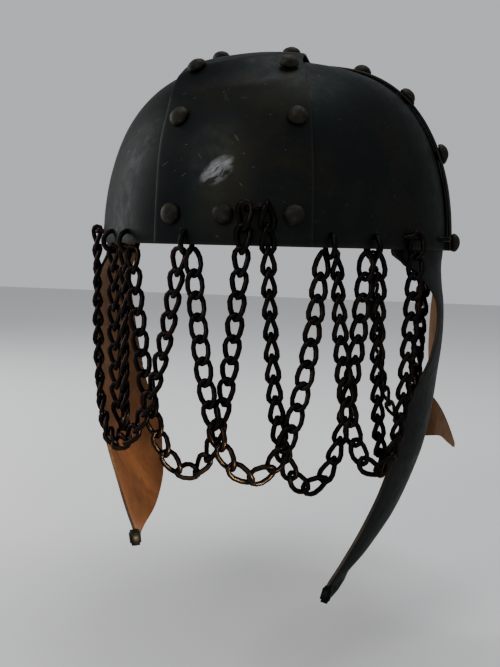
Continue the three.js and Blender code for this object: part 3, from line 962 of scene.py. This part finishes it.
def blackened_plate(name, with_painted_reflection):
    material, tree, shader, place = material_nodes(name)
    cloud = add_noise(tree, place, 22, 5, 0.62, 0.4)
    fine = add_noise(tree, place, 160, 5, 0.65)
    grain = add_noise(tree, place, 900, 3, 0.6)
    colour = add_ramp(tree, cloud, PLATE_COLOURS)
    specks = add_range(tree, fine, 0.64, 0.74, 0.0, 0.55)
    colour = add_mix(tree, specks, colour, SPECK_COLOUR)
    for rotation, rare in (((20, 62, 0), 0.73), ((-15, -40, 0), 0.75)):
        scratched = add_math(tree, "MULTIPLY", add_scratches(tree, place, rotation, 700, rare), 0.7)
        colour = add_mix(tree, scratched, colour, SCRATCH_COLOUR)
    worn = add_math(tree, "MULTIPLY", edge_wear(tree, 2.0), add_range(tree, cloud, 0.35, 0.6, 0.3, 1.0))
    colour = add_mix(tree, worn, colour, WORN_EDGE_COLOUR)
    rough = add_range(tree, fine, 0.3, 0.7, 0.4, 0.56)
    # Painted reflection: a pale grey, streaked oval patch low on the front band stands for a light
    # mirrored there. It is painted into the colour and made rougher.
    if with_painted_reflection:
        spot = add_spot(tree, place, (-4, -114, 34), (10.5, 14, 6), (0, -38, 0))
        stretched = add_mapping(tree, place, rotation=(0, -38, 0), scale=(3, 1, 1))
        streaks = add_noise(tree, stretched, 240, 4, 0.7)
        painted_reflection_patch = add_math(tree, "MULTIPLY", spot, add_range(tree, streaks, 0.42, 0.62, 0.0, 0.9))
        colour = add_mix(tree, painted_reflection_patch, colour, PAINTED_REFLECTION_COLOUR)
        rough = add_math(tree, "ADD", rough, add_math(tree, "MULTIPLY", painted_reflection_patch, 0.3))
    tree.links.new(colour, shader.inputs["Base Color"])
    tree.links.new(rough, shader.inputs["Roughness"])
    shader.inputs["Metallic"].default_value = 0.8
    shader.inputs["Specular IOR Level"].default_value = 0.3
    shader.inputs["Specular Tint"].default_value = (0.35, 0.37, 0.36, 1)
    add_bump(tree, shader, [(cloud, 0.2, 0.6), (fine, 0.3, 0.12), (grain, 0.25, 0.03)])
    return material


def copper_inside():
    material, tree, shader, place = material_nodes("copper_inside")
    cloud = add_noise(tree, place, 28, 5, 0.6, 0.5)
    fine = add_noise(tree, place, 190, 5, 0.65)
    colour = add_ramp(tree, cloud, COPPER_COLOURS)
    dark = add_range(tree, fine, 0.58, 0.7, 0.0, 0.6)
    colour = add_mix(tree, dark, colour, COPPER_STAIN_COLOUR)
    tree.links.new(colour, shader.inputs["Base Color"])
    tree.links.new(add_range(tree, fine, 0.3, 0.7, 0.36, 0.52), shader.inputs["Roughness"])
    shader.inputs["Metallic"].default_value = 0.85
    shader.inputs["Specular Tint"].default_value = (0.8, 0.64, 0.52, 1)
    add_bump(tree, shader, [(cloud, 0.3, 0.8), (fine, 0.3, 0.12)])
    return material


def rivet_metal():
    material, tree, shader, place = material_nodes("rivet_metal")
    cloud = add_noise(tree, place, 260, 5, 0.65)
    fine = add_noise(tree, place, 1400, 4, 0.7)
    colour = add_ramp(tree, cloud, RIVET_COLOURS)
    tree.links.new(colour, shader.inputs["Base Color"])
    tree.links.new(add_range(tree, fine, 0.3, 0.7, 0.5, 0.75), shader.inputs["Roughness"])
    shader.inputs["Metallic"].default_value = 0.7
    shader.inputs["Specular Tint"].default_value = (0.5, 0.5, 0.47, 1)
    add_bump(tree, shader, [(cloud, 0.6, 0.5), (fine, 0.5, 0.12)])
    return material


def chain_metal():
    material, tree, shader, place = material_nodes("chain_metal")
    cloud = add_noise(tree, place, 120, 4, 0.6)
    fine = add_noise(tree, place, 900, 4, 0.6)
    colour = add_ramp(tree, cloud, CHAIN_COLOURS)
    tree.links.new(colour, shader.inputs["Base Color"])
    tree.links.new(add_range(tree, fine, 0.3, 0.7, 0.28, 0.42), shader.inputs["Roughness"])
    shader.inputs["Metallic"].default_value = 0.9
    shader.inputs["Specular Tint"].default_value = (0.5, 0.42, 0.36, 1)
    add_bump(tree, shader, [(fine, 0.2, 0.06)])
    return material


# Studio

FLOOR_HALF_SIZE = 3
FLOOR_BELOW = 30 * MM
FLOOR_COLOUR = (0.62, 0.61, 0.6, 1)
SKY_COLOUR = (0.9, 0.93, 0.98, 1)
SKY_STRENGTH = 0.6

# Lamps: name, place, the place they shine at, width, height, power, colour and spread in degrees.
LAMPS = [
    ("key", (-0.7, -1.3, 1.0), (0, 0, 0), 0.8, 0.8, 10, (1.0, 0.98, 0.96), 180),
    ("side", (-1.2, 0.3, 0.3), (0, 0, 0), 0.1, 0.9, 14, (0.95, 0.98, 1.0), 180),
    ("top", (0.1, 0.3, 1.2), (0, 0, 0), 0.8, 0.6, 9, (0.93, 0.97, 1.0), 180),
    ("warm", (0.1, -0.2, -0.13), (-0.07, -0.06, -0.125), 0.04, 0.04, 0.15, (1.0, 0.66, 0.36), 24),
]


def area_light(name, place, target, width, height, power, colour, spread):
    light = bpy.data.lights.new(name, "AREA")
    light.shape = "RECTANGLE"
    light.size = width
    light.size_y = height
    light.energy = power
    light.color = colour
    light.spread = math.radians(spread)
    lamp = bpy.data.objects.new(name, light)
    lamp.location = place
    lamp.rotation_mode = "QUATERNION"
    lamp.rotation_quaternion = (Vector(target) - Vector(place)).to_track_quat("-Z", "Y")
    bpy.context.scene.collection.objects.link(lamp)


def studio():
    shape = bmesh.new()
    bmesh.ops.create_grid(shape, x_segments=1, y_segments=1, size=FLOOR_HALF_SIZE)
    bmesh.ops.translate(shape, verts=shape.verts, vec=(0, 0, cad_box[0].z - FLOOR_BELOW))
    mesh = bpy.data.meshes.new("floor")
    shape.to_mesh(mesh)
    shape.free()
    floor = bpy.data.objects.new("floor", mesh)
    bpy.context.scene.collection.objects.link(floor)
    material, _, shader, _ = material_nodes("pale_floor")
    shader.inputs["Base Color"].default_value = FLOOR_COLOUR
    shader.inputs["Roughness"].default_value = 0.9
    mesh.materials.append(material)
    world = bpy.data.worlds.new("studio")
    world.use_nodes = True
    world.node_tree.nodes["Background"].inputs["Color"].default_value = SKY_COLOUR
    world.node_tree.nodes["Background"].inputs["Strength"].default_value = SKY_STRENGTH
    bpy.context.scene.world = world
    for lamp in LAMPS:
        area_light(*lamp)


def camera():
    turn = math.radians(CAMERA_AZIMUTH)
    back = Vector((math.sin(turn), -math.cos(turn), 0))
    data = bpy.data.cameras.new("camera")
    data.sensor_fit = "AUTO"
    data.sensor_width = SENSOR
    data.lens = FOCAL_PIXELS / FRAME_HEIGHT * SENSOR
    data.clip_start = 10 * MM
    data.clip_end = 20
    eye = bpy.data.objects.new("camera", data)
    eye.location = back * CAMERA_DISTANCE
    straight = (-back).to_track_quat("-Z", "Y")
    off_x = (RIM_CENTRE_PIXEL[0] - FRAME_WIDTH / 2) / FOCAL_PIXELS
    off_y = (RIM_CENTRE_PIXEL[1] - FRAME_HEIGHT / 2) / FOCAL_PIXELS
    yaw = Quaternion((0, 1, 0), math.atan(off_x))
    pitch = Quaternion((1, 0, 0), math.atan(off_y))
    roll = Quaternion((0, 0, 1), math.radians(CAMERA_ROLL))
    eye.rotation_mode = "QUATERNION"
    eye.rotation_quaternion = straight @ roll @ yaw @ pitch
    bpy.context.scene.collection.objects.link(eye)
    bpy.context.scene.camera = eye


def build():
    # The front band's material carries a painted reflection.
    reflection_painted_plate = blackened_plate("front_plate_metal", True)
    plate = blackened_plate("plate_metal", False)
    copper = copper_inside()
    rivet_look = rivet_metal()
    chain = chain_metal()
    front_band(reflection_painted_plate)
    ear_band(plate)
    for end in (-1, 1):
        for side in (-1, 1):
            dome_panel(end, side, plate)
    for hand in ("left", "right"):
        cheek_plate(hand, plate, copper)
        nib(hand, plate)
    names = sorted(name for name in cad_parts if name.startswith("rivet_"))
    for seed, name in enumerate(names):
        rivet(name, rivet_look, seed * 2.3)
    for anchor in range(len(ANCHORS)):
        anchor_ring(anchor, chain)
    for seed, (name, start, end, low, lean) in enumerate(SWAGS):
        swag(name, start, end, low, lean, chain, seed + 1)


build()
studio()
camera()
